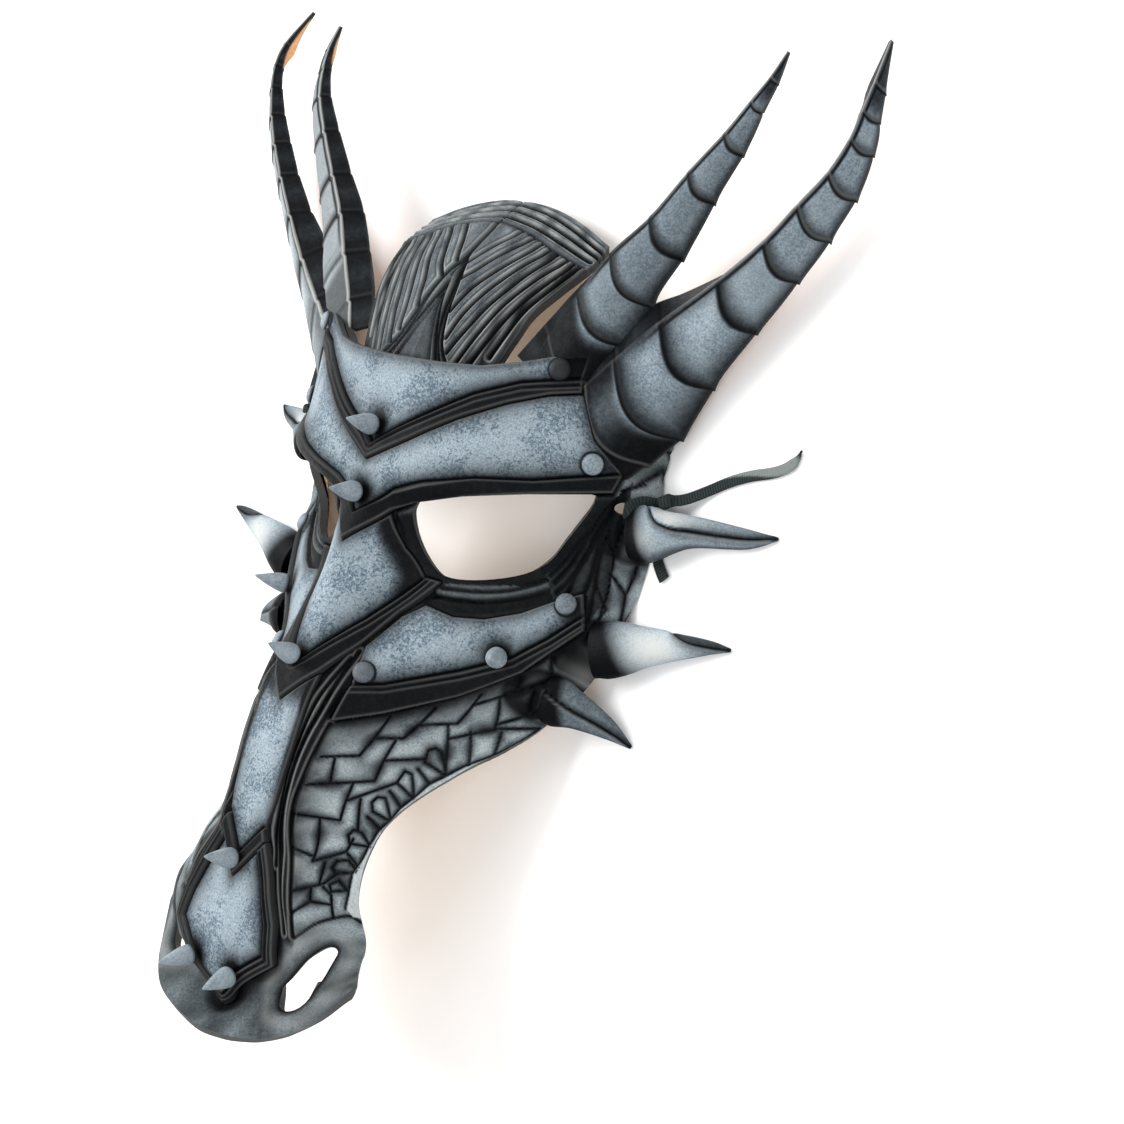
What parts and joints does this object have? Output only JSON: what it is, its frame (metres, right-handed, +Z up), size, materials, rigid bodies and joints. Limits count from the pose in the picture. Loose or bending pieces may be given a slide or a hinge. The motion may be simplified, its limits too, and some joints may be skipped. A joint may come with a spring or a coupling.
{
  "type": "horned leather mask",
  "caption": "Dragon face mask of tooled leather: overlapping plates on a long snout, ringed horns, a head crest, side spikes, cone studs and ribbon ties.",
  "frame": {"origin": "centre of the bounding box, ties left out, on the surface that the mask lies on", "axes": "+X to the wearer's left, +Y from the muzzle to the top of the head, +Z up out of the face of the mask as it lies on its temples"},
  "size_m": [0.2942, 0.3653, 0.0841],
  "materials": {
    "silver_leather": "airbrushed silver-blue, satin",
    "dark_leather": "black with grey strands, satin",
    "scale_leather": "tooled, grey-green scales with black edges",
    "studs": "matt pale grey-blue paint",
    "ribbon": "ribbed, near black"
  },
  "bodies": {
    "root": {"face_shell": "scale_leather", "forehead_plate": "silver_leather", "brow_plate": "silver_leather", "nose_plate": "silver_leather", "snout_plate": "silver_leather", "muzzle_plate": "silver_leather", "crest_cap": "dark_leather", "cheek_plate_left": "silver_leather", "horn_lower_left": "silver_leather", "horn_upper_left": "silver_leather", "side_spike_upper_left": "silver_leather", "side_spike_middle_left": "silver_leather", "side_spike_lower_left": "silver_leather", "tie_knot_left": "ribbon", "tie_ribbon_left": "ribbon", "rivet_forehead_left": "studs", "rivet_brow_left": "studs", "rivet_cheek_upper_left": "studs", "rivet_cheek_front_left": "studs", "cheek_plate_right": "silver_leather", "horn_lower_right": "silver_leather", "horn_upper_right": "silver_leather", "side_spike_upper_right": "silver_leather", "side_spike_middle_right": "silver_leather", "side_spike_lower_right": "silver_leather", "tie_knot_right": "ribbon", "tie_ribbon_right": "ribbon", "rivet_forehead_right": "studs", "rivet_brow_right": "studs", "rivet_cheek_upper_right": "studs", "rivet_cheek_front_right": "studs", "cone_forehead": "studs", "cone_brow": "studs", "cone_nose": "studs", "cone_snout": "studs", "cone_muzzle_left": "studs", "cone_muzzle_right": "studs", "cone_cheek_left": "studs", "cone_cheek_right": "studs"}
  },
  "joints": []
}
